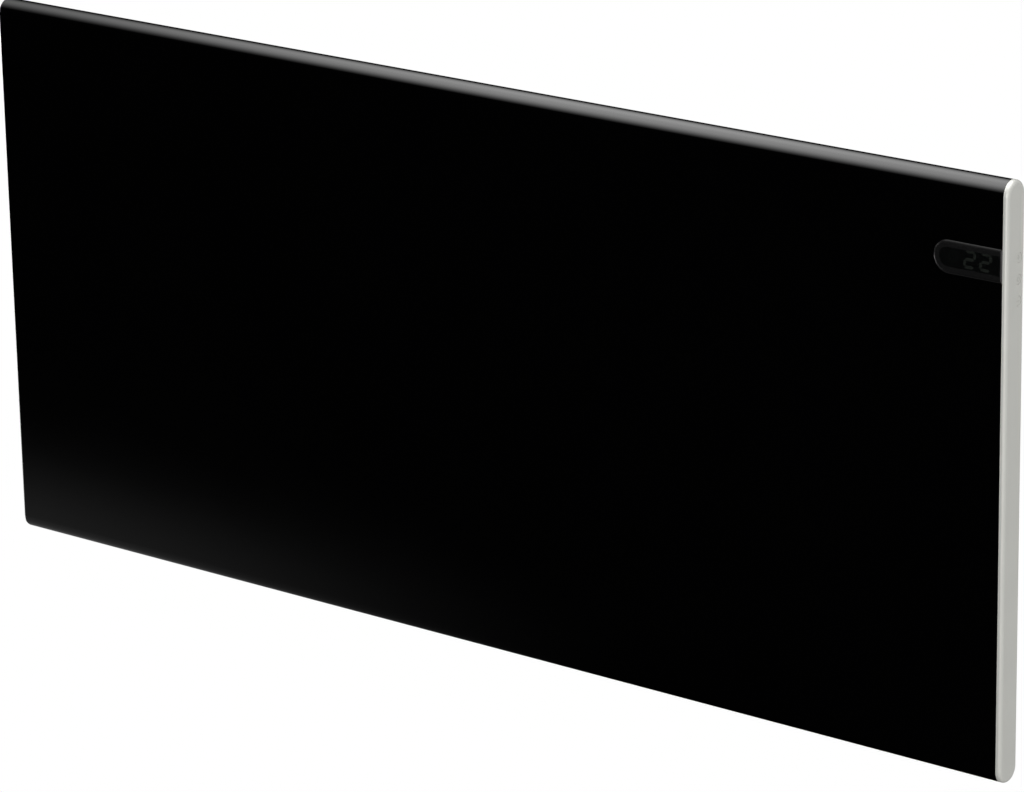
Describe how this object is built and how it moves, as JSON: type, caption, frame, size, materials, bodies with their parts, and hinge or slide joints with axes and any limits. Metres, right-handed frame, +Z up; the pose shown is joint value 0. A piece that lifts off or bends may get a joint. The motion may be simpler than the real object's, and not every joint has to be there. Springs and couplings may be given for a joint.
{
  "type": "panel heater",
  "caption": "Slim electric wall panel heater: black front with half-round edges, silver end caps, display window, vented rear casing and a hook-on wall bracket.",
  "frame": {"origin": "middle of the four wall screws, on the wall plane", "axes": "+X along the panel to the display end, +Y into the wall, +Z up; the front faces -Y"},
  "size_m": [0.79, 0.0844, 0.37],
  "materials": {
    "panel_black": "high gloss lacquer",
    "cap_silver": "satin silver paint",
    "bezel_black": "gloss",
    "lens_smoke": "smoked, gloss",
    "module_black": "matt",
    "board_green": "solder mask",
    "connector_grey": "matt",
    "housing_black": "fine texture",
    "rocker_black": "gloss",
    "casing_black": "matt powder coat",
    "element_aluminium": "mill finish",
    "rod_steel": "drawn",
    "ceramic_white": "unglazed",
    "zinc_steel": "zinc plated",
    "spring_steel": "blued",
    "rubber_black": "matt",
    "lead_insulation": "silicone"
  },
  "bodies": {
    "bracket": {"bracket_rail_left": "zinc_steel", "bracket_rail_right": "zinc_steel", "bracket_bar_upper": "zinc_steel", "bracket_bar_lower": "zinc_steel", "spring_clip_left": "spring_steel", "spring_clip_right": "spring_steel"},
    "heater": {"front_panel": "panel_black", "end_cap_left": "panel_black", "end_cap_right": "cap_silver", "control_bezel": "bezel_black", "display_lens": "lens_smoke", "display_module": "module_black", "power_relay": "module_black", "key_switches": "module_black", "control_board": "board_green", "board_connector": "connector_grey", "terminal_block": "connector_grey", "control_housing": "housing_black", "sensor_holder": "housing_black", "power_switch_body": "housing_black", "rear_casing": "casing_black", "outlet_grille": "casing_black", "inlet_grille": "casing_black", "heating_element": "element_aluminium", "heat_shield": "element_aluminium", "element_rod": "rod_steel", "room_sensor": "rod_steel", "element_bushes": "ceramic_white", "overheat_cutout": "ceramic_white", "element_support_left": "zinc_steel", "element_support_right": "zinc_steel", "hanger_bars": "zinc_steel", "cable_gland": "rubber_black", "wall_bumpers": "rubber_black", "supply_lead": "lead_insulation", "switched_lead": "lead_insulation", "element_lead": "lead_insulation", "return_lead_left": "lead_insulation", "return_lead_right": "lead_insulation", "sensor_lead": "lead_insulation"},
    "button_plus": {"button_plus": "cap_silver"},
    "button_ok": {"button_ok": "cap_silver"},
    "button_minus": {"button_minus": "cap_silver"},
    "rocker": {"power_switch_rocker": "rocker_black"}
  },
  "joints": [
    {"name": "tilt", "type": "hinge", "parent": "bracket", "child": "heater", "pos_m": [0, -0.0293, 0.11], "axis": [-1, 0, 0], "range_deg": [0, 15], "deforming": ["spring_clip_left", "spring_clip_right"]},
    {"name": "button_plus_press", "type": "slide", "parent": "heater", "child": "button_plus", "axis": [-1, 0, 0], "range_m": [0, 0.0008], "stiffness_N_per_m": 800},
    {"name": "button_ok_press", "type": "slide", "parent": "heater", "child": "button_ok", "axis": [-1, 0, 0], "range_m": [0, 0.0008], "stiffness_N_per_m": 800},
    {"name": "button_minus_press", "type": "slide", "parent": "heater", "child": "button_minus", "axis": [-1, 0, 0], "range_m": [0, 0.0008], "stiffness_N_per_m": 800},
    {"name": "rocker_turn", "type": "hinge", "parent": "heater", "child": "rocker", "pos_m": [0.334, -0.045, -0.09], "axis": [0, 1, 0], "range_deg": [0, 20]}
  ]
}
